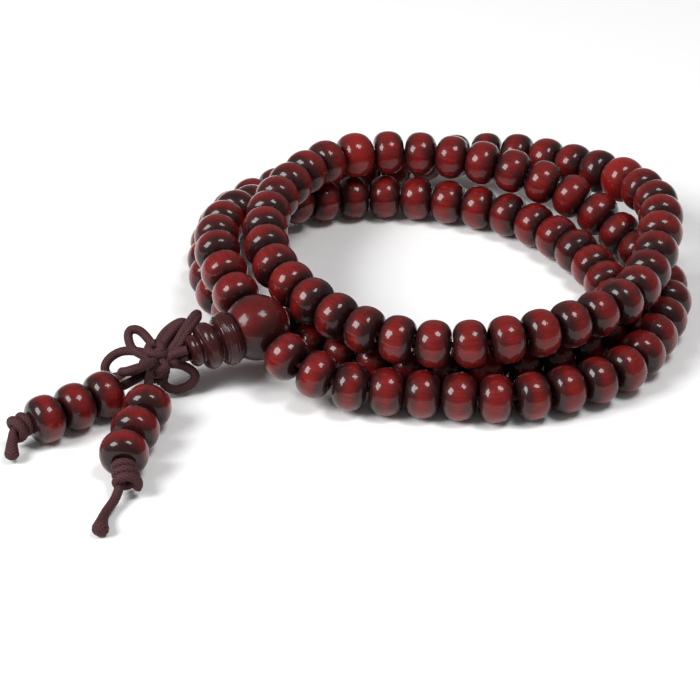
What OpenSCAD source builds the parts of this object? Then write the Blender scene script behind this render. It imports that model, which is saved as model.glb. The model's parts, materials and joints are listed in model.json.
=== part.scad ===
// Mala prayer beads laid on a table in three turns. Four runs of round lacquered wood beads on one
// closed cord, three marker beads between the runs, a guru bead that closes the strand, a turned
// tower bead, a tied knot with ear loops, and two tails of three beads. Millimetres, +Z up.

/* [Strand beads] */
// Diameter of a strand bead
bead_d = 8.3; // [7:0.1:8.3]
// Length of a strand bead along its bore, where the cord runs straight
bead_len = 6; // [5.4:0.1:6]
// Diameter of the bore of a strand bead
bore_d = 1.8; // [1.6:0.1:2]
// Beads in each of the four runs
beads_per_run = 27; // [20:1:27]

/* [Marker and guru beads] */
// Diameter of a marker bead
marker_d = 8.6; // [7:0.1:8.6]
// Length of a marker bead along its bore
marker_len = 6.6; // [5.6:0.1:7]
// Diameter of the guru bead
guru_d = 11.5; // [10:0.1:11.6]
// Length of the guru bead along the strand
guru_len = 11.2; // [9.4:0.1:11.4]
// Slack on the cord beside the guru bead and each marker bead
end_slack = 0.45; // [0.4:0.05:0.6]

/* [Tower bead] */
// Diameter of the large disc next to the guru bead
tower_disc_d = 9.4; // [8.6:0.1:9.6]
// Diameter of the second, smaller disc
tower_ring_d = 8.3; // [7.2:0.1:8.5]
// Diameter of the round neck at the top of the tower
tower_neck_d = 5.6; // [5.4:0.1:6]
// Gap between the guru bead and the hollow seat of the tower bead
seat_gap = 0.15; // [0.1:0.05:0.3]

/* [Cords] */
// Diameter of the cord inside the strand
strand_cord_d = 1; // [0.8:0.1:1.1]
// Diameter of the knotting cord of the knot and the tails
knot_cord_d = 1.6; // [1.2:0.1:1.7]

/* [Tails] */
// Diameter of a tail bead
tail_bead_d = 8.2; // [7:0.1:8.2]
// Length of a tail bead along its bore
tail_bead_len = 5.6; // [5:0.1:5.6]
// Diameter of the bore of a tail bead
tail_bore_d = 2.2; // [2.1:0.1:2.6]
// Turns of cord in the left tail's end knot
left_knot_turns = 1; // [1:0.5:1.5]
// Turns of cord in the front tail's end knot
front_knot_turns = 1.5; // [1:0.5:1.5]

/* [Hidden] */
$fn = 64;
run_count = 4;
marker_count = 3;
tail_beads = 3;
up = [0, 0, 1];
cord_sides = 8;
fine_cord_sides = 6;

// Colours of the lacquered wood and of the cord
red_wood = [0.35, 0.07, 0.07];
bright_wood = [0.48, 0.09, 0.08];
dark_wood = [0.24, 0.07, 0.07];
cord_brown = [0.31, 0.2, 0.2];

// Moves the routes so that the middle of the coil and the knot is at the origin
centring = [0.5, -0.2, 0];
function seated(points) = [for (p = points) p + centring];

// The closed route of the strand, from the guru bead round three turns and back to it
route = seated([
  // front, outer turn, coming down from the guru bead to the table
  [-25.5, -27, 9.4], [-20, -34.2, 7.8], [-12, -38, 5.3], [-2, -39.2, 4], [8.5, -40.5, 4],
  [18.5, -41, 4], [29, -37.5, 4], [38, -31.5, 4],
  // right side on the table
  [44, -21, 4], [47.5, -10, 4], [46.5, 1.5, 4], [41.5, 12.5, 4.8],
  // back, climbing on to the inner turn
  [33, 20.8, 8.4], [21.5, 26, 11.3], [9.5, 30.5, 12], [-3, 31.5, 12.4], [-13.2, 27.2, 13],
  // left side, standing highest
  [-19.6, 18.2, 13.8], [-23.9, 6.5, 14.3], [-24.6, -5, 14.5], [-21.8, -15.5, 13.6],
  // front, in the valley between the two lower turns
  [-14.2, -26, 12.7], [-5, -33.5, 12.1], [6, -36.5, 11.9], [17.5, -36, 12.7], [28.5, -30.5, 12.4],
  // right side, over the outer turn
  [38.5, -21.5, 12], [43.5, -11, 11.8], [46.5, 0, 13], [47, 11.5, 12.6],
  // far back, coming down to the table
  [42.2, 23.2, 11], [33, 33, 9], [22, 39.5, 7.8], [10, 41.5, 6.3], [-3, 40.5, 4.4], [-14, 37, 4.1],
  // left side, outer turn on the table
  [-24.8, 31.2, 4], [-32.4, 22, 4], [-35.2, 10.5, 4], [-34.6, -2, 4], [-30.5, -12, 4],
  // front, inner turn, passing under the guru bead
  [-22, -18.5, 4], [-13.5, -26, 4], [-2, -30.5, 4], [10, -32.5, 4.25], [21.5, -31, 4.25],
  // right side and back, inner turn on the table
  [32.5, -24, 4], [37.8, -13.5, 4], [36.5, -1.5, 4], [31, 10.5, 4], [22.5, 20.5, 4], [10.5, 26.5, 4],
  [-2, 29, 4], [-13, 27.8, 4.2],
  // left side, climbing on to the outer turn and up to the guru bead
  [-23.4, 21.2, 6.9], [-29.9, 11.6, 10.9], [-33.2, 1, 12.6], [-32.7, -9.5, 13], [-29.5, -19, 11.3]
]);

// Ear loops of the knot, each leaving and rejoining the woven middle
ear_routes = [
  [[-42, -32, 7], [-44.5, -28.5, 8.5], [-46, -27.5, 9.2], [-47.3, -27.5, 9], [-47.5, -28.7, 8.2],
    [-46.5, -30.5, 7], [-43.5, -32.5, 6.5]],
  [[-42, -32.5, 7], [-46, -30, 6.4], [-48.8, -28.8, 5.6], [-50.8, -29.3, 4.6], [-51.7, -30, 3.2],
    [-51.2, -30.5, 1.8], [-49.8, -30.5, 1.5], [-47.8, -31, 3], [-44.5, -32.3, 5]],
  [[-41.5, -33.5, 7], [-39.5, -32, 8.6], [-37.8, -29.5, 10.4], [-36.2, -26.8, 11.6],
    [-35.8, -25.5, 10.8], [-37.4, -27.8, 9], [-40, -31.5, 7]],
  [[-42.8, -31.5, 7.3], [-41.8, -28.5, 8.4], [-40.4, -27.2, 9.4], [-38.7, -26.7, 10.2],
    [-37.9, -26, 9.3], [-39.3, -28, 8], [-41, -32, 6.6]],
  [[-41.5, -33, 6], [-38.5, -33, 5.6], [-36.6, -32.8, 4.4], [-36, -33.2, 3.1], [-37.2, -34, 2],
    [-39.4, -34.3, 1.4], [-41.2, -33.8, 2], [-41.6, -33, 3.6], [-42, -32.8, 5.4]],
  [[-42.3, -33.6, 7.2], [-43.2, -36, 7.8], [-44.8, -38.1, 8.3], [-46.4, -39, 8.3], [-47.6, -38.7, 7.9],
    [-47.9, -37.7, 7.2], [-47.2, -36.9, 6.7], [-45.8, -36.4, 6.7], [-44.5, -35.6, 6.9], [-43.2, -34.2, 6.8],
    [-42.5, -33.2, 6.6]]
];

// Middle of the woven part of the knot, the two ways its strands run, and its spread
knot_centre = [-42, -33, 6.2] + centring;
knot_along = [-0.8, -0.5, -0.3];
knot_across = [-0.5, 0.8, -0.2];
knot_rows = 3;
knot_row_step = 1.7;
knot_strand_len = 5.6;
// Height of each of its two crossed layers above and below the middle
layer_rise = 0.45 * knot_cord_d;
// Share of the way from the middle at which the cord of each tail comes out
root_start = 0.4;

// Routes of the two tails, from the knot through the beads to the cut end
left_tail_route = seated([
  [-45, -35.6, 5], [-47.6, -37.6, 4.5], [-51, -40, 4.1], [-55.5, -43.6, 4.1], [-60.1, -47.2, 4.1],
  [-64.4, -49.6, 3.9], [-65.1, -51.7, 2.7], [-64.9, -54.9, 1.3]
]);
front_tail_route = seated([
  [-43.6, -37, 5], [-43.4, -40, 4.5], [-43.4, -43.8, 4.1], [-44.9, -50.4, 4.1], [-46.2, -57.2, 4.1],
  [-46.2, -62.5, 3.2], [-47, -66, 1.6], [-48.3, -69.4, 1.2], [-48.7, -72.4, 1.2], [-48.7, -75, 1.2]
]);
// Places of the beads and of the end knot along a tail, counted in route points
tail_bead_steps = [2, 3, 4];
end_knot_step = 5;

function unit(v) = v / norm(v);
function mix(a, b, k) = a * (1 - k) + b * k;

// A smooth curve through the points: one point of the stretch from b to c
function curve(a, b, c, d, k) =
  0.5 * (2 * b + (c - a) * k + (2 * a - 5 * b + 4 * c - d) * k * k
    + (3 * b - a - 3 * c + d) * k * k * k);
function ring_curve(p, n) = [
  for (i = [0:len(p) - 1]) for (k = [0:n - 1])
    let (m = len(p))
    curve(p[(i + m - 1) % m], p[i], p[(i + 1) % m], p[(i + 2) % m], k / n)
];
function open_point(p, s) =
  let (last = len(p) - 1, i = min(floor(s), last - 1))
  curve(p[max(i - 1, 0)], p[i], p[i + 1], p[min(i + 2, last)], s - i);
function open_curve(p, n) = [for (k = [0:(len(p) - 1) * n]) open_point(p, k / n)];
open_look = 0.05;
function open_heading(p, s) =
  unit(open_point(p, min(s + open_look, len(p) - 1)) - open_point(p, max(s - open_look, 0)));

// The strand as a table of length against place, kept on or above the table
curve_steps = 6;
laid = [for (p = ring_curve(route, curve_steps)) [p.x, p.y, max(p.z, bead_d / 2)]];
loop_points = concat(laid, [laid[0]]);
reach = [
  for (i = 0, s = 0; i < len(loop_points);
    s = s + (i + 1 < len(loop_points) ? norm(loop_points[i + 1] - loop_points[i]) : 0), i = i + 1) s
];
strand_len = reach[len(reach) - 1];
by_len = [for (k = [0:2]) [for (i = [0:len(reach) - 1]) [reach[i], loop_points[i][k]]]];
function wrap(s) = s - strand_len * floor(s / strand_len);
function place(s) = [for (k = [0:2]) lookup(wrap(s), by_len[k])];
// A heading is taken over this reach to either side
look = 1.5;
function heading(s) = unit(place(s + look) - place(s - look));

// Steps of the beads along the cord, from the guru bead round to it again
bead_count = run_count * beads_per_run;
others_len = marker_count * (marker_len + end_slack) + guru_len + end_slack;
pitch = (strand_len - others_len) / bead_count;
run_len = beads_per_run * pitch;
first_at = (guru_len + end_slack) / 2;
function bead_at(run, b) = first_at + run * (run_len + marker_len + end_slack) + (b - 0.5) * pitch;
function marker_at(m) = first_at + m * run_len + (m - 0.5) * (marker_len + end_slack);

// A bead is a little shorter where the cord bends, so that its round edge clears its neighbour's
fit_gap = 0.06;
function bend_sine(s, t) = sin(acos(min(1, heading(s) * heading(t))) / 2);
function room(s, t) =
  let (k = bend_sine(s, t))
  (norm(place(t) - place(s)) - bead_d * k) / (1 - k) - fit_gap;
function bead_long(s) = min(bead_len, room(s, s - pitch), room(s, s + pitch));

// The guru bead, and the tower bead that stands on its third hole
guru_place = place(0);
guru_heading = heading(0);
tower_heading = unit([-0.88, -0.47, -0.1]);
seat_r = guru_d / 2 + seat_gap;
seat_inset = 0.5;
disc_start = sqrt(pow(seat_r, 2) - pow(tower_disc_d / 2 - seat_inset, 2));
disc_thick = 3.4;
ring_thick = 2.9;
neck_len = 2.2;
waist_d = 5.2;
groove = 0.35;
stem_d = 1.8;
stem_hole_d = 2.2;
ring_start = disc_start + disc_thick + groove;
neck_start = ring_start + ring_thick;
tower_end = neck_start + neck_len;
tower_place = guru_place + tower_heading * tower_end;

// Room between the ends of two cords where the pendant or a tail swings
swing_gap = 0.6;

// The third hole of the guru bead is drilled from the tower's side to just past the strand's bore
stem_start = 1.6;

second_run = "second_run_bead_";

// Turns a shape that stands along Z so that it lies along a heading at a place
module lay(at, along) {
  translate(at) rotate([0, acos(along.z), atan2(along.y, along.x)]) children();
}

// A turned bead: a round edge as thick as the bead is long, with a true bore
module bead(d, long, bore) {
  rotate_extrude() intersection() {
    translate([(d - long) / 2, 0]) circle(d = long);
    translate([bore / 2, -long]) square([d, 2 * long]);
  }
}

// A tube swept along points, with its sides kept square to a steady direction
module tube(points, d, sides, closed, steady) {
  n = len(points);
  rings = [
    for (i = [0:n - 1])
      let (
        ahead = closed ? points[(i + 1) % n] : points[min(i + 1, n - 1)],
        behind = closed ? points[(i + n - 1) % n] : points[max(i - 1, 0)],
        side = unit(cross(unit(ahead - behind), steady)),
        over = unit(cross(side, unit(ahead - behind)))
      )
      for (k = [0:sides - 1])
        points[i] + d / 2 * (cos(360 * k / sides) * side + sin(360 * k / sides) * over)
  ];
  spans = closed ? n : n - 1;
  walls = [
    for (i = [0:spans - 1]) for (k = [0:sides - 1])
      let (
        a = i * sides + k,
        b = i * sides + (k + 1) % sides,
        c = ((i + 1) % n) * sides + (k + 1) % sides,
        e = ((i + 1) % n) * sides + k
      )
      each [[a, b, c], [a, c, e]]
  ];
  first_cap = [for (k = [1:sides - 2]) [0, k + 1, k]];
  last = (n - 1) * sides;
  last_cap = [for (k = [1:sides - 2]) [last, last + k, last + k + 1]];
  polyhedron(rings, closed ? walls : concat(walls, first_cap, last_cap));
}

// One ring at each bead's middle and one in each gap, so the cord bends only between beads
module strand_cord() {
  rings = 2 * (bead_count + marker_count + 1);
  color(cord_brown)
    tube([for (i = [0:rings - 1]) place(strand_len * i / rings)], strand_cord_d, fine_cord_sides, true, up);
}

module run_bead(run, b) {
  at = bead_at(run, b);
  color(red_wood) lay(place(at), heading(at)) bead(bead_d, bead_long(at), bore_d);
}

module run_beads(run) {
  for (b = [1:beads_per_run]) run_bead(run, b);
}

module marker_bead(m) {
  color(bright_wood)
    lay(place(marker_at(m)), heading(marker_at(m))) bead(marker_d, marker_len, bore_d);
}

module guru_bead() {
  color(bright_wood) difference() {
    lay(guru_place, guru_heading) bead(guru_d, guru_len, bore_d);
    lay(guru_place, tower_heading) cylinder(d = stem_hole_d, h = guru_d);
  }
}

// Outline of one round-edged disc of the tower
module round_edged(d, thick, start) {
  translate([0, start]) square([(d - thick) / 2, thick]);
  translate([(d - thick) / 2, start + thick / 2]) circle(d = thick);
}

// The tower is turned in one piece: two discs and a neck on a waist, hollowed to sit on the guru bead
module tower_bead() {
  color(dark_wood) lay(guru_place, tower_heading) difference() {
    rotate_extrude() difference() {
      union() {
        round_edged(tower_disc_d, disc_thick, disc_start);
        round_edged(tower_ring_d, ring_thick, ring_start);
        round_edged(tower_neck_d, neck_len, neck_start);
        translate([0, disc_start]) square([waist_d / 2, neck_start + neck_len / 2 - disc_start]);
      }
      translate([-guru_d, 0]) square([guru_d + stem_hole_d / 2, 2 * guru_d]);
    }
    sphere(r = seat_r);
  }
}

// The doubled cord that leaves the strand in the guru bead and runs through the tower bead
module stem_cord() {
  color(cord_brown) lay(guru_place + stem_start * tower_heading, tower_heading)
    cylinder(d = stem_d, h = tower_end - stem_start - swing_gap);
}

// Two crossed layers of strands, and the ear loops that leave them
module knot() {
  along = unit(knot_along);
  over = unit(cross(along, knot_across));
  across = cross(over, along);
  color(cord_brown) {
    for (row = [0:knot_rows - 1]) {
      shift = (row - (knot_rows - 1) / 2) * knot_row_step;
      for (layer = [[along, across, 1], [across, along, -1]]) {
        middle = knot_centre + shift * layer[1] + layer[2] * layer_rise * over;
        strand = [for (k = [-1:1]) middle + k * knot_strand_len / 2 * layer[0]];
        tube(strand, knot_cord_d, cord_sides, false, over);
      }
    }
    for (ear = ear_routes) tube(open_curve(seated(ear), 4), knot_cord_d, cord_sides, false, up);
    tube([tower_place + swing_gap * tower_heading, knot_centre], stem_d, cord_sides, false, up);
    for (way = [left_tail_route, front_tail_route]) {
      root = way[0] - swing_gap * open_heading(way, 0);
      tube([mix(knot_centre, root, root_start), root], knot_cord_d, cord_sides, false, up);
    }
  }
}

module tail_cord(way) {
  color(cord_brown) tube(open_curve(way, 2), knot_cord_d, cord_sides, false, up);
}

module tail_bead(way, b) {
  step = tail_bead_steps[b - 1];
  color(red_wood) lay(open_point(way, step), open_heading(way, step))
    bead(tail_bead_d, tail_bead_len, tail_bore_d);
}

// Turns of the tail's own cord, wound round it below the last bead
turn_steps = 24;
turn_slack = 0.15;
turn_room = 0.55;
turn_r = knot_cord_d + turn_slack;
turn_rise = knot_cord_d + turn_room;
function winding(way, turns) =
  let (
    axis = open_heading(way, end_knot_step),
    side = unit(cross(axis, up)),
    over = cross(side, axis),
    middle = open_point(way, end_knot_step)
  )
  [
    for (k = [0:turns * turn_steps])
      let (turn = 360 * k / turn_steps)
      middle + turn_r * (cos(turn) * side + sin(turn) * over)
        + (k / turn_steps - turns / 2) * turn_rise * axis
  ];
function winding_gap(p) =
  let (last = len(p) - 1)
  min([for (i = [0:last]) for (j = [i + turn_steps / 2:1:last]) norm(p[i] - p[j])]) - knot_cord_d;

module end_knot(way, turns) {
  axis = open_heading(way, end_knot_step);
  color(cord_brown) tube(winding(way, turns), knot_cord_d, fine_cord_sides, false, axis);
}

echo(front_knot_gap_mm = winding_gap(winding(front_tail_route, front_knot_turns)));
echo(left_knot_gap_mm = winding_gap(winding(left_tail_route, left_knot_turns)));

strand_cord();
guru_bead();
tower_bead();
stem_cord();
knot();
tail_cord(left_tail_route);  // left_tail_cord
end_knot(left_tail_route, left_knot_turns);  // left_end_knot
tail_cord(front_tail_route);  // front_tail_cord
end_knot(front_tail_route, front_knot_turns);  // front_end_knot
run_beads(0);  // first_run_beads
run_beads(2);  // third_run_beads
run_beads(3);  // fourth_run_beads
for (m = [1:marker_count]) marker_bead(m);
for (b = [1:beads_per_run]) run_bead(1, b);
for (b = [1:tail_beads])
  tail_bead(left_tail_route, b);
for (b = [1:tail_beads])
  tail_bead(front_tail_route, b);
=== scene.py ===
import json
import math
import random

import bpy
import numpy as np
from bpy.props import FloatProperty, FloatVectorProperty, PointerProperty
from bpy.types import Operator, Panel, PropertyGroup
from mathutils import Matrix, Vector


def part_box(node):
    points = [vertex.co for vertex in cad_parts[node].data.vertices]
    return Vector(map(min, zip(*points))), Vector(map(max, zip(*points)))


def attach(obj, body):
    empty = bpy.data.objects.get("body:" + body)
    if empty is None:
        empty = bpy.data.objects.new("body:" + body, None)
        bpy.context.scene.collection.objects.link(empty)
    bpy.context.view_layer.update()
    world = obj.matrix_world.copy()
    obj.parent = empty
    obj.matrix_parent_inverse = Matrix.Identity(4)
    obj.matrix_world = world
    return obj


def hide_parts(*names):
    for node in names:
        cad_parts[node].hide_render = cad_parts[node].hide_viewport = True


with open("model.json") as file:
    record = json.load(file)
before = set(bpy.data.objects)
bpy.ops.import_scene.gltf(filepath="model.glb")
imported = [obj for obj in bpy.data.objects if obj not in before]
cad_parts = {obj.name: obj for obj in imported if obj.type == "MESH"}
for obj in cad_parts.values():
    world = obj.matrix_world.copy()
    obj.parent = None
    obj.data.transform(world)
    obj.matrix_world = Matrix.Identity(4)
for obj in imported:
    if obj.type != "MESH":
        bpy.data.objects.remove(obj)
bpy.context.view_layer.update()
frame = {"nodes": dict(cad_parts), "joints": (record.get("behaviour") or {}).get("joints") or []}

bl_info = {
    "name": "Mala prayer beads",
    "version": (1, 0, 0),
    "blender": (4, 5, 0),
    "location": "View3D > Sidebar > Mala",
    "description": "Builds a coiled wooden mala: beads, guru bead, tower bead, knot and two tails",
    "category": "Object",
}

MM = 0.001
UP = Vector((0, 0, 1))
ASIDE = Vector((1, 0, 0))
# A heading steeper than this has no sure level direction beside it
STEEP = 0.9


def colour(code):
    """A hex sRGB colour as linear red, green and blue."""
    shares = [int(code[i : i + 2], 16) / 255 for i in (1, 3, 5)]
    return tuple(c / 12.92 if c <= 0.04045 else ((c + 0.055) / 1.055) ** 2.4 for c in shares)


def length(name, description, millimetres):
    """A size in the panel, in metres."""
    return FloatProperty(
        name=name,
        description=description,
        default=millimetres * MM,
        min=0.1 * MM,
        max=30 * MM,
        precision=4,
        unit="LENGTH",
    )


def shade(name, description, code):
    """A colour in the panel."""
    return FloatVectorProperty(
        name=name, description=description, default=colour(code), min=0, max=1, subtype="COLOR"
    )


class MalaSizes(PropertyGroup):
    """Sizes of the beads and cords"""

    bead_d: length("Bead diameter", "Across a strand bead", 8.3)
    bore_d: length("Bore", "Hole through a strand bead", 1.8)
    marker_d: length("Marker diameter", "Across a marker bead", 8.6)
    marker_len: length("Marker length", "Along the bore of a marker bead", 6.6)
    guru_d: length("Guru diameter", "Across the guru bead", 11.5)
    guru_len: length("Guru length", "Along the bore of the guru bead", 11.2)
    disc_d: length("Tower disc", "Across the tower's large disc", 9.4)
    ring_d: length("Tower ring", "Across the tower's small disc", 8.3)
    neck_d: length("Tower neck", "Across the tower's round neck", 5.6)
    strand_cord_d: length("Strand cord", "Thickness of the cord through the beads", 1)
    knot_cord_d: length("Knotting cord", "Thickness of the cord of the knot and tails", 1.6)
    tail_bead_d: length("Tail bead diameter", "Across a tail bead", 8.2)
    tail_bead_len: length("Tail bead length", "Along the bore of a tail bead", 5.6)
    tail_bore_d: length("Tail bead bore", "Hole through a tail bead", 2.2)


class MalaColours(PropertyGroup):
    """Colours of the wood and cord"""

    band: shade("Bead band", "Red round the middle of a strand bead", "#7d1614")
    # The mouth colour is partly dark wood round the bore and partly painted shade where neighbouring beads
    # meet
    mouth: shade("Bead mouth", "Dark wood round the bore", "#280f10")
    marker: shade("Marker", "Plain red of the marker beads", "#8a1a16")
    guru: shade("Guru", "Red-brown of the guru bead", "#5e1314")
    tower: shade("Tower", "Dark brown of the tower bead", "#3a1415")
    cord: shade("Cord", "Brown of the knotting cord", "#553133")
    floor: shade("Floor", "White of the floor", "#fcfcfc")


# Where the knot's ears and the two tails run, in millimetres
EARS = [
    # back left
    [(-41.5, -32.2, 7), (-44, -28.7, 8.5), (-45.5, -27.7, 9.2), (-46.8, -27.7, 9),
     (-47, -28.9, 8.2), (-46, -30.7, 7), (-43, -32.7, 6.5)],
    # far left, reaching down almost to the floor
    [(-41.5, -32.7, 7), (-45.5, -30.2, 6.4), (-48.3, -29, 5.6), (-50.3, -29.5, 4.6), (-51.2, -30.2, 3.2),
     (-50.7, -30.7, 1.8), (-49.3, -30.7, 1.5), (-47.3, -31.2, 3), (-44, -32.5, 5)],
    # the two long ears, back right
    [(-41, -33.7, 7), (-39, -32.2, 8.6), (-37.3, -29.7, 10.4), (-35.7, -27, 11.6),
     (-35.3, -25.7, 10.8), (-36.9, -28, 9), (-39.5, -31.7, 7)],
    [(-42.3, -31.7, 7.3), (-41.3, -28.7, 8.4), (-39.9, -27.4, 9.4), (-38.2, -26.9, 10.2),
     (-37.4, -26.2, 9.3), (-38.8, -28.2, 8), (-40.5, -32.2, 6.6)],
    # a second cord beside the first in each of the two long ears
    [(-40.6, -33.7, 7.2), (-38.5, -32.4, 8.4), (-36.8, -30, 10.1), (-35.3, -27.3, 11.2),
     (-35.3, -25.8, 10.8)],
    [(-41.6, -32.4, 7.4), (-40.6, -30.4, 8.6), (-39.3, -28.6, 9.6), (-37.9, -26.8, 10.2)],
    # right, low over the floor
    [(-41, -33.2, 6), (-38, -33.2, 5.6), (-36.1, -33, 4.4), (-35.5, -33.4, 3.1), (-36.7, -34.2, 2),
     (-38.9, -34.5, 1.4), (-40.7, -34, 2), (-41.1, -33.2, 3.6), (-41.5, -33, 5.4)],
    # front left
    [(-41.8, -33.8, 7.2), (-42.7, -36.2, 7.8), (-44.3, -38.3, 8.3), (-45.9, -39.2, 8.3), (-47.1, -38.9, 7.9),
     (-47.4, -37.9, 7.2), (-46.7, -37.1, 6.7), (-45.3, -36.6, 6.7), (-44, -35.8, 6.9), (-42.7, -34.4, 6.8),
     (-42, -33.4, 6.6)],
]
KNOT_CENTRE = Vector((-41.5, -33.2, 6.2))
KNOT_ALONG = Vector((-0.8, -0.5, -0.3)).normalized()
KNOT_OVER = KNOT_ALONG.cross(Vector((-0.5, 0.8, -0.2))).normalized()
KNOT_ACROSS = KNOT_OVER.cross(KNOT_ALONG)
LEFT_TAIL = [
    (-44.5, -35.8, 5), (-47.1, -37.8, 4.5), (-50.5, -40.2, 4.1), (-55, -43.8, 4.1), (-59.6, -47.4, 4.1),
    (-63.9, -49.8, 3.9), (-64.6, -51.9, 2.7), (-64.4, -55.1, 1.3),
]
FRONT_TAIL = [
    (-43.1, -37.2, 5), (-42.9, -40.2, 4.5), (-42.9, -44, 4.1), (-44.4, -50.6, 4.1), (-45.7, -57.4, 4.1),
    (-45.7, -62.7, 3.2), (-46.5, -66.2, 1.6), (-47.8, -69.6, 1.2), (-48.2, -72.6, 1.3), (-48.2, -75.2, 1.5),
]
# The route point that each tail's end knot is wound at
END_KNOT_STEP = 5
# The knot's woven middle: spacing of its strands, their rise over each other in cord thicknesses,
# where a loose strand ends, and where the cross strand turns back, in spacings
WEAVE_STEP, WEAVE_RISE, WEAVE_END, WEAVE_TURN = 1.7, 0.45, 2.8, 1.55
# Where the two strands leave the tower: their gap above it and half their distance
LEAVE_GAP, LEAVE_APART = 0.1, 0.7
# Thicknesses of the tower's parts, stacked from a height above the guru bead's middle
TOWER_START, TOWER_DISC, TOWER_WAIST, TOWER_RING, TOWER_NECK = 4.14, 3.4, 0.35, 2.9, 2.2
TOWER_END = TOWER_START + TOWER_DISC + TOWER_WAIST + TOWER_RING + TOWER_NECK
# Radius of the tower's hole, gap to the guru bead, width of the rim there, softened mouth, depth of the waist
TOWER_HOLE_R, SEAT_GAP, SEAT_RIM, SOFT_EDGE, WAIST_DEPTH = 1.1, 0.15, 0.5, 0.1, 0.1
# Depth of the lines that the turning tool left, and their number to a full circle of the edge
LINE_DEPTH, LINE_RATE = 0.035, 18
# The stem cord: its start above the guru bead's middle, its thickness and its gap below the tower's top
STEM_START, STEM_D, SWING_GAP = 1.6, 1.8, 0.6
# Curve steps to a span, and the spacing of the rings of a cord
TAIL_STEPS, KNOT_STEPS, STRAND_STEPS = 20, 16, 8
CORD_SPACING, STEM_SPACING, STRAND_SPACING = 0.1, 0.3, 0.5
# A bead's shoulder against its length, and its bevel against its lip
SHOULDER_SHARE, BEVEL_SHARE = 0.4, 0.3
# Shifts that give each bead and cord its own part of the figure
GRAIN_DRIFT, YARN_DRIFT = (37, 91, 53), 7
# How light a cord's cut end is under the painted valley shade, on the scale of the braid's relief
CUT_RELIEF = 0.6
SMALL_SIDES, MIDDLE_SIDES, LARGE_SIDES = 36, 48, 64
STRAND_SEED = 11
# Parts of a CAD mesh whose middles are nearer than this belong to one bead
SAME_BEAD = 2
# The lamps' distance and the floor's radius in metres, the floor's sides and the world's grey
LAMP_REACH, FLOOR_RADIUS, FLOOR_SIDES, WORLD_GREY = 0.7, 3, 64, 0.22


def catmull(p0, p1, p2, p3, t):
    """A point between p1 and p2 on a smooth curve through all four."""
    return 0.5 * (
        2 * p1 + (p2 - p0) * t + (2 * p0 - 5 * p1 + 4 * p2 - p3) * t**2 + (3 * p1 - p0 - 3 * p2 + p3) * t**3
    )


def curve_through(points, steps, closed=False):
    """A smooth curve through points, with steps to each span."""
    points = [Vector(p) for p in points]
    n = len(points)

    def at(i):
        return points[i % n] if closed else points[min(max(i, 0), n - 1)]

    curve = []
    for i in range(n if closed else n - 1):
        four = at(i - 1), at(i), at(i + 1), at(i + 2)
        curve += [catmull(*four, k / steps) for k in range(steps)]
    return curve if closed else curve + [points[-1]]


def spaced(path, step, closed=False):
    """The same path with its points a steady step apart."""
    ring = path + [path[0]] if closed else path
    reach = [0.0]
    for a, b in zip(ring, ring[1:]):
        reach.append(reach[-1] + (b - a).length)
    count = max(2, round(reach[-1] / step))
    out, i = [], 0
    for k in range(count if closed else count + 1):
        s = reach[-1] * k / count
        while i < len(ring) - 2 and reach[i + 1] < s:
            i += 1
        span = reach[i + 1] - reach[i]
        out.append(ring[i].lerp(ring[i + 1], (s - reach[i]) / span if span else 0))
    return out


def evenly(low, high, count):
    """Numbers from low to high, both included."""
    return [low + (high - low) * k / (count - 1) for k in range(count)]


def path_length(path):
    """Length of a path along its points."""
    return sum((b - a).length for a, b in zip(path, path[1:]))


def square_to(heading):
    """A direction square to a heading, and level unless the heading is steep."""
    return heading.cross(UP if abs(heading.z) < STEEP else ASIDE).normalized()


class Form:
    """Points, faces and surface values gathered for one mesh, in millimetres."""

    def __init__(self):
        self.points, self.faces = [], []
        self.grain, self.end, self.tone, self.relief = [], [], [], []

    def point(self, place, grain, end, tone, relief=1.0):
        """Adds a point with its surface values and gives its number."""
        self.points.append(place)
        self.grain.append(grain)
        self.end.append(end)
        self.tone.append(tone)
        self.relief.append(relief)
        return len(self.points) - 1

    def piece(self, name, finish, body, slot, node):
        """The mesh as a piece that rides on a body and stands for a CAD node."""
        mesh = bpy.data.meshes.new(name)
        mesh.from_pydata([tuple(p * MM) for p in self.points], [], self.faces)
        for label, values in (("end", self.end), ("tone", self.tone), ("relief", self.relief)):
            mesh.attributes.new(label, "FLOAT", "POINT").data.foreach_set("value", values)
        flat = [c for g in self.grain for c in g]
        mesh.attributes.new("grain", "FLOAT_VECTOR", "POINT").data.foreach_set("vector", flat)
        mesh.shade_smooth()
        mesh.materials.append(finish)
        obj = bpy.data.objects.new(name, mesh)
        bpy.context.scene.collection.objects.link(obj)
        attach(obj, body)
        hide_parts(node)
        return obj


def turned(form, outline, sides, at, along, tone, half):
    """Turns a closed outline of (radius, height) about a heading, as on a lathe."""
    along = Vector(along).normalized()
    side = square_to(along)
    over = along.cross(side)
    drift = Vector([c * tone for c in GRAIN_DRIFT])
    rings = []
    for radius, height in outline:
        ring = []
        for k in range(sides):
            angle = 2 * math.pi * k / sides
            x, y = radius * math.cos(angle), radius * math.sin(angle)
            place = at + x * side + y * over + height * along
            ring.append(form.point(place, Vector((x, y, height)) + drift, min(abs(height) / half, 1), tone))
        rings.append(ring)
    for low, high in zip(rings, rings[1:] + rings[:1]):
        for k in range(sides):
            nxt = (k + 1) % sides
            form.faces.append((low[k], low[nxt], high[nxt], high[k]))


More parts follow.
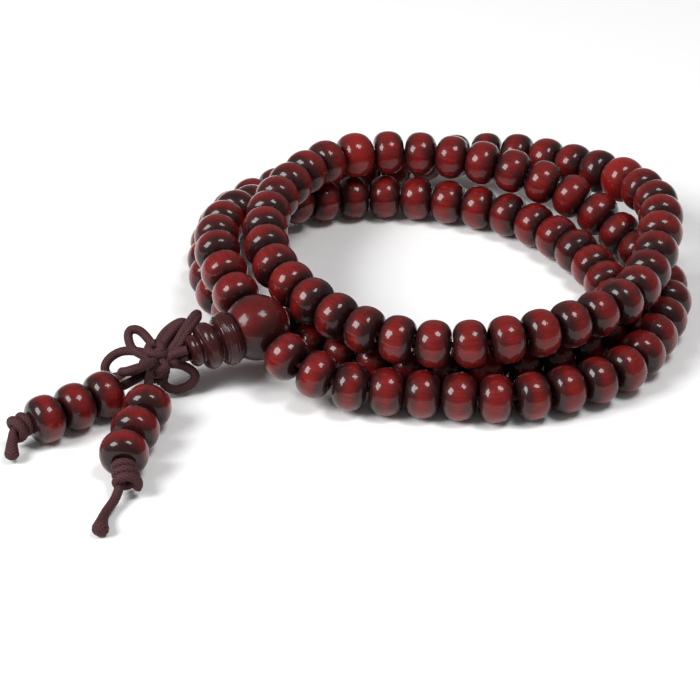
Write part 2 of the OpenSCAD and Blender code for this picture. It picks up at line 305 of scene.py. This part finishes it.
def bead_outline(d, long, bore, arc_steps=18, lip=0.22):
    """A ball with round shoulders, flat ends where these leave room, a softened mouth and a true bore."""
    ball, half, hole = d / 2, long / 2, bore / 2
    shoulder, bevel = SHOULDER_SHARE * long, BEVEL_SHARE * lip
    rise = half - shoulder
    out = math.sqrt((ball - shoulder) ** 2 - rise**2)
    turn = math.atan2(rise, out)
    reach = math.acos(max(0, (hole + lip - out) / shoulder))
    belt = [(ball * math.cos(a), ball * math.sin(a)) for a in evenly(-turn, turn, arc_steps // 2 + 1)]
    arc = evenly(turn, reach, arc_steps // 2 + 1)
    upper = [(out + shoulder * math.cos(a), rise + shoulder * math.sin(a)) for a in arc]
    tip = upper[-1][1]
    upper += [(hole + bevel, tip - bevel), (hole, tip - lip)]
    lower = [(r, -h) for r, h in reversed(upper)]
    return lower + belt[1:-1] + upper


def braided(form, path, d, sides=32, closed=False, depth=0.09, carriers=8, pitch=0.7, tone=0.5, flare=None):
    """A cord along a path, its two sets of braided yarns crossing in relief."""
    n = len(path)
    spans = n if closed else n - 1
    normal, last, run, rings = None, None, 0.0, []
    for i, p in enumerate(path):
        ahead = path[(i + 1) % n] if closed else path[min(i + 1, n - 1)]
        behind = path[i - 1] if closed or i else path[0]
        heading = (ahead - behind).normalized()
        if normal is None:
            normal = square_to(heading)
        else:
            normal.rotate(last.rotation_difference(heading))
            run += (p - path[i - 1]).length
        last = heading
        across = heading.cross(normal)
        wide = flare(run) if flare else 1.0
        ring = []
        for k in range(sides):
            angle = 2 * math.pi * k / sides
            turn, step = carriers * angle / (2 * math.pi), run / pitch
            # The yarns' rise shapes the braid and is kept as its relief, which paints shade into the valleys
            rise = max(math.cos(math.pi * (turn + step)) ** 2, math.cos(math.pi * (turn - step)) ** 2)
            r = d / 2 * wide * (1 - depth * (1 - rise))
            place = p + r * (math.cos(angle) * normal + math.sin(angle) * across)
            grain = (angle * d / 2, run, YARN_DRIFT * tone)
            ring.append(form.point(place, grain, 0.0, tone, rise))
        rings.append(ring)
    for i in range(spans):
        low, high = rings[i], rings[(i + 1) % n]
        for k in range(sides):
            nxt = (k + 1) % sides
            form.faces.append((low[k], low[nxt], high[nxt], high[k]))
    if not closed:
        for ring, p, flip in ((rings[0], path[0], True), (rings[-1], path[-1], False)):
            hub = form.point(p.copy(), (0, run, YARN_DRIFT * tone), 1.0, tone, CUT_RELIEF)
            for k in range(sides):
                a, b = ring[k], ring[(k + 1) % sides]
                form.faces.append((b, a, hub) if flip else (a, b, hub))


def add(tree, kind, inputs=(), **settings):
    """Adds one node, sets its plain values and links those that come from another node."""
    node = tree.nodes.new(kind)
    for key, value in settings.items():
        setattr(node, key, value)
    for key, value in dict(inputs).items():
        if isinstance(value, bpy.types.NodeSocket):
            tree.links.new(value, node.inputs[key])
        else:
            node.inputs[key].default_value = value
    return node


# Places of the colour sockets on a mix node
FACTOR, MIX_A, MIX_B, MIXED = 0, 6, 7, 2


def carried(tree, name, output="Fac"):
    """A surface value that the mesh carries at its points."""
    return add(tree, "ShaderNodeAttribute", attribute_name=name).outputs[output]


def noise(tree, vector, scale, detail):
    """Soft noise whose grains are about 1 / scale millimetres across."""
    inputs = {"Vector": vector, "Scale": scale, "Detail": detail}
    return add(tree, "ShaderNodeTexNoise", inputs).outputs["Fac"]


def scaled(tree, value, gain, offset):
    """A value times a gain, plus an offset."""
    inputs = {0: value, 1: gain, 2: offset}
    return add(tree, "ShaderNodeMath", inputs, operation="MULTIPLY_ADD").outputs[0]


def ranged(tree, value, low, high, at_low, at_high, **settings):
    """A value moved from one range to another."""
    inputs = {"Value": value, "From Min": low, "From Max": high, "To Min": at_low, "To Max": at_high}
    return add(tree, "ShaderNodeMapRange", inputs, **settings).outputs[0]


def blend(tree, factor, first, second):
    """A colour between two colours."""
    inputs = {FACTOR: factor, MIX_A: first, MIX_B: second}
    return add(tree, "ShaderNodeMix", inputs, data_type="RGBA").outputs[MIXED]


def blank(name):
    """A new material with an output and nothing else."""
    finish = bpy.data.materials.new(name)
    finish.use_nodes = True
    finish.node_tree.nodes.clear()
    return finish, finish.node_tree, add(finish.node_tree, "ShaderNodeOutputMaterial")


def lacquered_wood(name, band, mouth, spread, figure, fibre_depth, satin=0.0):
    """Turned wood under clear lacquer: streaks along the bore, darker towards the bore's mouth from dark wood
    and painted shade where beads meet.
    """
    finish, tree, out = blank(name)
    grain = carried(tree, "grain", "Vector")
    # Fibres about 0.4 mm apart run along the bore: they break the red into streaks
    along = add(tree, "ShaderNodeMapping", {"Vector": grain, "Scale": (1, 1, 0.1)})
    fibre = noise(tree, along.outputs["Vector"], 2.6, 5)
    # Broad figure a few millimetres across makes one side of a bead redder than the other
    shift = scaled(tree, noise(tree, grain, figure, 2), 1.1, -0.5)
    toned = scaled(tree, carried(tree, "tone"), 0.35, shift)
    # Darker towards the bore's mouth: partly dark wood there, partly painted shade where beads meet
    dark = add(tree, "ShaderNodeMath", {0: carried(tree, "end"), 1: toned}, operation="ADD").outputs[0]
    amount = ranged(tree, dark, 0.2, 0.2 + spread, 0.0, 1.0, interpolation_type="SMOOTHSTEP")
    wood = blend(tree, amount, (*band, 1), (*mouth, 1))
    streak = ranged(tree, fibre, 0.35, 0.65, fibre_depth, 0.0)
    streaked_wood_and_mouth_shade = blend(tree, streak, wood, (*mouth, 1))
    # Lacquer lies a few hundredths of a millimetre uneven: highlights get soft, wavy edges
    wave = noise(tree, grain, 0.9, 3)
    uneven = add(tree, "ShaderNodeBump", {"Height": wave, "Strength": 1.0, "Distance": 0.05 * MM})
    shader = add(
        tree,
        "ShaderNodeBsdfPrincipled",
        {
            "Base Color": streaked_wood_and_mouth_shade,
            "Roughness": 0.4,
            "IOR": 1.5,
            "Specular IOR Level": 0.1,
            "Normal": uneven.outputs["Normal"],
            "Coat Weight": 1.0 - 0.3 * satin,
            "Coat Roughness": 0.04 + 0.11 * satin,
            "Coat IOR": 1.35,
            "Coat Normal": uneven.outputs["Normal"],
        },
    )
    tree.links.new(shader.outputs[0], out.inputs[0])
    return finish


def braided_cord(name, base):
    """Dyed braided cord: matt yarns, with painted shade in the valleys of the braid."""
    finish, tree, out = blank(name)
    # Dye takes unevenly from one half millimetre to the next
    lift = scaled(tree, noise(tree, carried(tree, "grain", "Vector"), 2.2, 4), 0.5, 0.75)
    # Painted shade: the valleys of the braid are darkened by their relief
    level = ranged(tree, carried(tree, "relief"), 0.4, 1.0, 0.35, 1.0)
    gain = add(tree, "ShaderNodeMath", {0: lift, 1: level}, operation="MULTIPLY")
    dyed_and_valley_shaded = add(tree, "ShaderNodeVectorMath", {0: base, "Scale": gain.outputs[0]}, operation="SCALE")
    shader = add(
        tree,
        "ShaderNodeBsdfPrincipled",
        {"Base Color": dyed_and_valley_shaded.outputs[0], "Roughness": 0.7, "Specular IOR Level": 0.2},
    )
    tree.links.new(shader.outputs[0], out.inputs[0])
    return finish


def small_bead_wood(colours):
    """The wood of the small beads, made once for the strand and the tails."""
    name = "lacquered_turned_rosewood"
    made = bpy.data.materials.get(name)
    return made or lacquered_wood(name, tuple(colours.band), tuple(colours.mouth), 0.95, 0.22, 0.5)


def knotting_cord(colours):
    """The cord of the knot and the tails, made once."""
    name = "dyed_braided_nylon_cord"
    return bpy.data.materials.get(name) or braided_cord(name, tuple(colours.cord))


def white_paper(name, base):
    """Matt white paper: even white under the soft lamps, with the soft shadow of the beads."""
    finish, tree, out = blank(name)
    paper = add(tree, "ShaderNodeBsdfDiffuse", {"Color": (*base, 1)})
    tree.links.new(paper.outputs[0], out.inputs[0])
    return finish


def hinge(child):
    """Centre and bore direction of a bead that turns on its own, from its joint."""
    joint = next(j for j in frame["joints"] if j["child"] == child)
    return Vector(joint["pos_m"]) / MM, Vector(joint["axis"])


def bead_long(places, centre, along):
    """Length of a bead along its bore, from its CAD points."""
    reach = (np.asarray(places) - np.array(centre)) @ np.array(along)
    return float(reach.max() - reach.min())


def own_bead(node):
    """Centre, bore direction and length of a bead that turns on its own."""
    centre, along = hinge(node)
    places = [v.co / MM for v in frame["nodes"][node].data.vertices]
    return centre, along, bead_long(places, centre, along)


def bead_places(node):
    """Centre, bore direction and length of every bead in a CAD node of many beads."""
    mesh = frame["nodes"][node].data
    co = np.array([v.co for v in mesh.vertices]) / MM
    near = [[] for _ in co]
    for edge in mesh.edges:
        a, b = edge.vertices
        near[a].append(b)
        near[b].append(a)
    owner = [-1] * len(co)
    islands = []
    for start in range(len(co)):
        if owner[start] >= 0:
            continue
        owner[start], todo, island = len(islands), [start], []
        while todo:
            v = todo.pop()
            island.append(v)
            for w in near[v]:
                if owner[w] < 0:
                    owner[w] = len(islands)
                    todo.append(w)
        islands.append(co[island])
    beads = []
    for island in sorted(islands, key=len, reverse=True):
        centre = (island.min(0) + island.max(0)) / 2
        if all(np.linalg.norm(centre - other[0]) > SAME_BEAD for other in beads):
            spread = np.cov((island - centre).T)
            along = np.linalg.eigh(spread)[1][:, 0]
            beads.append((centre, along, bead_long(island, centre, along)))
    return [(Vector(c), Vector(a), long) for c, a, long in beads]


def guru_place():
    """Middle of the guru bead."""
    low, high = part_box("guru_bead")
    return (low + high) / 2 / MM


def second_run():
    """Names of the second run's beads."""
    return [name for name in frame["nodes"] if name.startswith("second_run_bead_")]


def markers():
    """Names of the marker beads in order."""
    return sorted(name for name in frame["nodes"] if name.startswith("marker_bead_"))


def strand_order():
    """Every bead of the strand in its order on the cord, from the guru bead round to it again."""
    left = {}
    for node in ("first_run_beads", "third_run_beads", "fourth_run_beads"):
        for i, bead in enumerate(bead_places(node)):
            left[(node, i)] = bead
    for node in second_run() + markers():
        left[(node, 0)] = own_bead(node)
    here, order = guru_place(), []
    while left:
        pool = left if order else {k: v for k, v in left.items() if k[0] == "first_run_beads"}
        key = min(pool, key=lambda k: (pool[k][0] - here).length)
        centre, along, long = left.pop(key)
        if along.dot(centre - here) < 0:
            along = -along
        order.append((key[0], centre, along, long))
        here = centre
    return order


def tones(count, seed):
    """A repeatable scatter of dark and light beads."""
    rng = random.Random(seed)
    return [rng.random() for _ in range(count)]


class MALA_OT_stage(Operator):
    """Adds the camera, two soft lamps and a plain white floor"""

    bl_idname = "mala.stage"
    bl_label = "Stage"

    def execute(self, context):
        scene = context.scene
        scene.view_settings.view_transform = "Standard"
        lens = bpy.data.cameras.new("camera")
        lens.lens, lens.sensor_width = 123.43, 36
        lens.clip_start, lens.clip_end = 0.01, 20
        camera = bpy.data.objects.new("camera", lens)
        camera.location = Vector((-9.0, -377.16, 227.73)) * MM
        camera.rotation_euler = (math.radians(57.5), 0, 0)
        scene.collection.objects.link(camera)
        scene.camera = camera

        # Two soft boxes, to the left and overhead, give each bead its pair of highlights
        middle = Vector((0, 0, 10 * MM))
        for name, towards, wide, tall, watts in (
            ("left_softbox", (-0.684, -0.33, 0.636), 0.33, 0.33, 4.6),
            ("top_softbox", (0.309, -0.18, 0.932), 0.23, 0.23, 2.2),
        ):
            light = bpy.data.lights.new(name, "AREA")
            light.shape, light.size, light.size_y, light.energy = "RECTANGLE", wide, tall, watts
            lamp = bpy.data.objects.new(name, light)
            lamp.location = middle + LAMP_REACH * Vector(towards).normalized()
            lamp.rotation_mode = "QUATERNION"
            lamp.rotation_quaternion = (-Vector(towards)).to_track_quat("-Z", "Y")
            lamp.visible_camera = False
            scene.collection.objects.link(lamp)

        world = bpy.data.worlds.new("dim_studio")
        world.use_nodes = True
        grey = (WORLD_GREY, WORLD_GREY, WORLD_GREY, 1)
        world.node_tree.nodes["Background"].inputs["Color"].default_value = grey
        scene.world = world

        angles = evenly(0, 2 * math.pi, FLOOR_SIDES + 1)[:-1]
        rim = [Vector((math.cos(a), math.sin(a), 0)) * FLOOR_RADIUS for a in angles]
        mesh = bpy.data.meshes.new("floor")
        mesh.from_pydata([tuple(p) for p in rim], [], [tuple(range(FLOOR_SIDES))])
        mesh.materials.append(white_paper("matt_white_paper", tuple(scene.mala_colours.floor)))
        floor = bpy.data.objects.new("floor", mesh)
        scene.collection.objects.link(floor)
        return {"FINISHED"}


def end_knot_path(way, d, turns, lean, back):
    """The tail's own cord wound round it below its last bead, in tilted turns that grow wider."""
    steps, tilt, inner, growth, pitch = 36, 0.3, 0.8, 0.25, 0.95
    curve = curve_through(way, TAIL_STEPS)
    i = END_KNOT_STEP * TAIL_STEPS
    axis = (curve[i + 1] - curve[i - 1]).normalized()
    side = axis.cross(UP).normalized()
    over = side.cross(axis)
    path = []
    for k in range(round(turns * steps) + 1):
        angle, share = 2 * math.pi * k / steps, k / (turns * steps)
        radius = d * (inner + growth * share)
        rise = (share - 0.5) * pitch * d * turns - back + tilt * radius * math.cos(angle)
        middle = curve[i] + rise * axis + lean * share * side
        path.append(middle + radius * (math.cos(angle) * side + math.sin(angle) * over))
    return path


def sealed_tip(full, swell, flare=5.0, onset=1.2, round_off=1.2, thinnest=0.04):
    """Width of a cord along its run: plain, then swollen and rounded where its cut end was melted."""

    def width(run):
        left = full - run
        grown = min(max(onset - left / flare, 0), 1)
        wide = 1 + swell * grown * grown
        return wide * math.sqrt(max(1 - max(1 - left / round_off, 0) ** 2, thinnest))

    return width


class MALA_OT_tails(Operator):
    """Adds the two tails: a cord, its end knot and three beads each"""

    bl_idname = "mala.tails"
    bl_label = "Tails"

    def execute(self, context):
        sizes, colours = context.scene.mala_sizes, context.scene.mala_colours
        d = sizes.knot_cord_d / MM
        finish, wood = knotting_cord(colours), small_bead_wood(colours)
        outline = bead_outline(sizes.tail_bead_d / MM, sizes.tail_bead_len / MM, sizes.tail_bore_d / MM, 22)
        # The tip's swelling, then the end knot's turns, its lean and how far it sits back
        for side, way, swell, turns, lean, back in (
            ("left", LEFT_TAIL, 0.6, 1.8, 0.0, 0.5),
            ("front", FRONT_TAIL, 0.8, 2.6, -1.2, 0.3),
        ):
            body = side + "_tail"
            path = spaced(curve_through(way, TAIL_STEPS), CORD_SPACING)
            full = path_length(path)
            form = Form()
            braided(form, path, d, flare=sealed_tip(full, swell))
            cord = form.piece(side + "_cord", finish, body, "knotting_cord", side + "_tail_cord")
            form = Form()
            winding = end_knot_path(way, d, turns, lean, back)
            braided(form, spaced(winding, CORD_SPACING), d, tone=0.8)
            on_cord = [form.piece(side + "_wound_knot", finish, body, "knotting_cord", side + "_end_knot")]
            for number, tone in ((1, 0.7), (2, 0.4), (3, 0.5)):
                node = f"{side}_tail_bead_{number}"
                centre, along = hinge(node)
                form = Form()
                turned(form, outline, MIDDLE_SIDES, centre, along, tone, sizes.tail_bead_len / MM / 2)
                on_cord.append(form.piece("turned_" + node, wood, node, "bead_wood", node))
        return {"FINISHED"}


class MALA_OT_strand_cord(Operator):
    """Adds the closed cord through the strand and the stem through the tower"""

    bl_idname = "mala.strand_cord"
    bl_label = "Strand cord"

    def execute(self, context):
        sizes = context.scene.mala_sizes
        finish = braided_cord("waxed_braided_cord", tuple(context.scene.mala_colours.cord))
        form = Form()
        centres = [guru_place()] + [bead[1] for bead in strand_order()]
        path = spaced(curve_through(centres, STRAND_STEPS, True), STRAND_SPACING, True)
        braided(form, path, sizes.strand_cord_d / MM, sides=12, closed=True, depth=0.08)
        form.piece("threaded_cord", finish, "strand", "strand_cord", "strand_cord")
        form = Form()
        _, along = hinge("tower_bead")
        ends = [guru_place() + reach * along for reach in (STEM_START, TOWER_END - SWING_GAP)]
        braided(form, spaced(ends, STEM_SPACING), STEM_D, sides=14)
        form.piece("stem_through_tower", finish, "strand", "strand_cord", "stem_cord")
        return {"FINISHED"}


def wrap_path(hand, d):
    """One of two cords wound round the knot's middle in opposite ways, over and under in turn."""
    low, high, turns, steps = 3.0, 9.4, 3.5, 28
    # Measures of the winding, the last being the cord's thickness that they are meant for
    taper, reach, sway, stretch, shift, plain = 0.35, 1.25, 0.3, 1.15, 0.5, 1.6
    path = []
    for k in range(round(turns * steps) + 1):
        angle, share = 2 * math.pi * k / steps, k / (turns * steps)
        swell = 1 - taper * (2 * share - 1) ** 2
        radius = swell * (reach + sway * hand * math.cos(angle / 2)) * d / plain
        x, y = radius * math.sin(hand * angle), -radius * math.cos(angle)
        height = low + (high - low) * share
        path.append(Vector((KNOT_CENTRE.x - shift + stretch * x, KNOT_CENTRE.y + y, height)))
    return path


class MALA_OT_knot(Operator):
    """Adds the knot: a woven middle and six ear loops"""

    bl_idname = "mala.knot"
    bl_label = "Knot"

    def execute(self, context):
        d = context.scene.mala_sizes.knot_cord_d / MM
        finish = knotting_cord(context.scene.mala_colours)
        form = Form()

        def lay(points, tone):
            braided(form, spaced(curve_through(points, KNOT_STEPS), CORD_SPACING), d, tone=tone)

        def crossing(u, v, over):
            rise = over * WEAVE_RISE * d * KNOT_OVER
            return KNOT_CENTRE + u * KNOT_ALONG + v * KNOT_ACROSS + rise

        for i, ear in enumerate(EARS):
            lay(ear, 0.15 * i)
        _, along = hinge("tower_bead")
        leave = guru_place() + (TOWER_END + LEAVE_GAP) * along
        apart = along.cross(along.cross(UP)).normalized() * LEAVE_APART
        step = WEAVE_STEP
        # Two strands come from the tower and leave as the tails; the third begins and ends in the knot
        ends = {-1: FRONT_TAIL[0], 0: LEFT_TAIL[0]}
        for row in (-1, 0, 1):
            way = [crossing(k * step, row * step, 1 if (row + k) % 2 else -1) for k in (-1, 0, 1)]
            if row in ends:
                way = [leave + (row + 0.5) * 2 * apart] + way + [Vector(ends[row])]
            else:
                way = [crossing(-WEAVE_END, row * step, 0)] + way + [crossing(WEAVE_END, row * step, 0)]
            lay(way, 0.3 + 0.2 * row)
        # One more strand goes to and fro across them
        across = []
        for column in (-1, 0, 1):
            u, far = column * step, WEAVE_TURN * step
            line = [crossing(u, k * step, -1 if (column + k) % 2 else 1) for k in (-1, 0, 1)]
            line = [crossing(u, -far, 0)] + line + [crossing(u, far, 0)]
            across += line if column % 2 else line[::-1]
        lay(across, 0.9)
        for hand in (-1, 1):
            braided(form, spaced(wrap_path(hand, d), CORD_SPACING), d, tone=0.6 + 0.2 * hand)
        form.piece("ear_knot", finish, "pendant", "knotting_cord", "knot")
        return {"FINISHED"}


class MALA_OT_strand_beads(Operator):
    """Adds the four runs of small beads"""

    bl_idname = "mala.strand_beads"
    bl_label = "Strand beads"

    def execute(self, context):
        sizes, colours = context.scene.mala_sizes, context.scene.mala_colours
        finish = small_bead_wood(colours)
        order = [bead for bead in strand_order() if not bead[0].startswith("marker")]
        runs = {}
        for (node, centre, along, long), tone in zip(order, tones(len(order), STRAND_SEED)):
            form = runs.setdefault(node, Form())
            outline = bead_outline(sizes.bead_d / MM, long, sizes.bore_d / MM)
            turned(form, outline, SMALL_SIDES, centre, along, tone, long / 2)
        for node, form in runs.items():
            body = node if node.startswith("second") else "strand"
            form.piece("turned_" + node, finish, body, "bead_wood", node)
        return {"FINISHED"}


class MALA_OT_marker_beads(Operator):
    """Adds the three larger, plainer red beads between the runs"""

    bl_idname = "mala.marker_beads"
    bl_label = "Marker beads"

    def execute(self, context):
        sizes, colours = context.scene.mala_sizes, context.scene.mala_colours
        finish = lacquered_wood(
            "red_lacquered_turned_wood", tuple(colours.marker), tuple(colours.mouth), 1.5, 0.15, 0.25
        )
        outline = bead_outline(sizes.marker_d / MM, sizes.marker_len / MM, sizes.bore_d / MM, 24)
        for node, tone in zip(markers(), (0.12, 0.2, 0.16)):
            centre, along = hinge(node)
            form = Form()
            turned(form, outline, MIDDLE_SIDES, centre, along, tone, sizes.marker_len / MM / 2)
            form.piece("turned_" + node, finish, node, "marker_wood", node)
        return {"FINISHED"}


class MALA_OT_guru_bead(Operator):
    """Adds the large bead that closes the strand"""

    bl_idname = "mala.guru_bead"
    bl_label = "Guru bead"

    def execute(self, context):
        sizes, colours = context.scene.mala_sizes, context.scene.mala_colours
        finish = lacquered_wood(
            "polished_turned_rosewood", tuple(colours.guru), tuple(colours.mouth), 0.9, 0.14, 0.25, 0.7
        )
        outline = bead_outline(sizes.guru_d / MM, sizes.guru_len / MM, sizes.bore_d / MM, 30, 0.4)
        order = strand_order()
        form = Form()
        along = order[0][1] - order[-1][1]
        turned(form, outline, LARGE_SIDES, guru_place(), along, 0.3, sizes.guru_len / MM / 2)
        form.piece("turned_guru_bead", finish, "strand", "guru_wood", "guru_bead")
        return {"FINISHED"}


def round_edge(radius, base, thick, low, high, count, line_depth=0.0):
    """Outline of a disc's round edge between two angles in degrees, with turning lines of a depth."""
    edge = thick / 2
    points = []
    for a in evenly(math.radians(low), math.radians(high), count):
        r = edge + line_depth * math.cos(LINE_RATE * a)
        points.append((radius - edge + r * math.cos(a), base + edge + r * math.sin(a)))
    return points


class MALA_OT_tower_bead(Operator):
    """Adds the turned bead of two discs and a neck that stands on the guru bead"""

    bl_idname = "mala.tower_bead"
    bl_label = "Tower bead"

    def execute(self, context):
        sizes, colours = context.scene.mala_sizes, context.scene.mala_colours
        finish = lacquered_wood(
            "polished_dark_turned_wood", tuple(colours.tower), tuple(colours.mouth), 1.8, 0.3, 0.3, 0.8
        )
        disc, ring, neck = (v / MM / 2 for v in (sizes.disc_d, sizes.ring_d, sizes.neck_d))
        seat, hole = sizes.guru_d / MM / 2 + SEAT_GAP, TOWER_HOLE_R
        outline = [(r, math.sqrt(seat**2 - r**2)) for r in evenly(hole, disc - SEAT_RIM, 8)]
        outline += round_edge(disc, TOWER_START, TOWER_DISC, -45, 90, 64, LINE_DEPTH)
        base = TOWER_START + TOWER_DISC + TOWER_WAIST
        outline.append((disc - TOWER_DISC / 2 - WAIST_DEPTH, base - TOWER_WAIST / 2))
        outline += round_edge(ring, base, TOWER_RING, -70, 80, 18)
        base += TOWER_RING
        outline += round_edge(neck, base, TOWER_NECK, -60, 90, 14)
        top = base + TOWER_NECK
        outline += [(hole + SOFT_EDGE, top), (hole, top - SOFT_EDGE)]
        _, along = hinge("tower_bead")
        form = Form()
        turned(form, outline, LARGE_SIDES, guru_place(), along, 0.35, 2 * TOWER_END)
        form.piece("turned_tower_bead", finish, "tower_bead", "tower_wood", "tower_bead")
        return {"FINISHED"}


OPERATORS = (
    MALA_OT_stage,
    MALA_OT_tails,
    MALA_OT_strand_cord,
    MALA_OT_knot,
    MALA_OT_strand_beads,
    MALA_OT_marker_beads,
    MALA_OT_guru_bead,
    MALA_OT_tower_bead,
)


class MALA_PT_panel(Panel):
    """Sizes, colours and pieces of the mala"""

    bl_idname = "MALA_PT_panel"
    bl_label = "Mala"
    bl_space_type = "VIEW_3D"
    bl_region_type = "UI"
    bl_category = "Mala"

    def draw(self, context):
        for group in (context.scene.mala_sizes, context.scene.mala_colours):
            column = self.layout.column()
            for name in group.__annotations__:
                column.prop(group, name)
        for operator in OPERATORS:
            self.layout.operator(operator.bl_idname)


CLASSES = (MalaSizes, MalaColours, *OPERATORS, MALA_PT_panel)


def register():
    for cls in CLASSES:
        bpy.utils.register_class(cls)
    bpy.types.Scene.mala_sizes = PointerProperty(type=MalaSizes)
    bpy.types.Scene.mala_colours = PointerProperty(type=MalaColours)


def unregister():
    del bpy.types.Scene.mala_colours
    del bpy.types.Scene.mala_sizes
    for cls in reversed(CLASSES):
        bpy.utils.unregister_class(cls)


def main():
    register()
    bpy.ops.mala.stage()
    bpy.ops.mala.tails()
    bpy.ops.mala.strand_cord()
    bpy.ops.mala.knot()
    bpy.ops.mala.strand_beads()
    bpy.ops.mala.marker_beads()
    bpy.ops.mala.guru_bead()
    bpy.ops.mala.tower_bead()


if __name__ == "__main__":
    main()
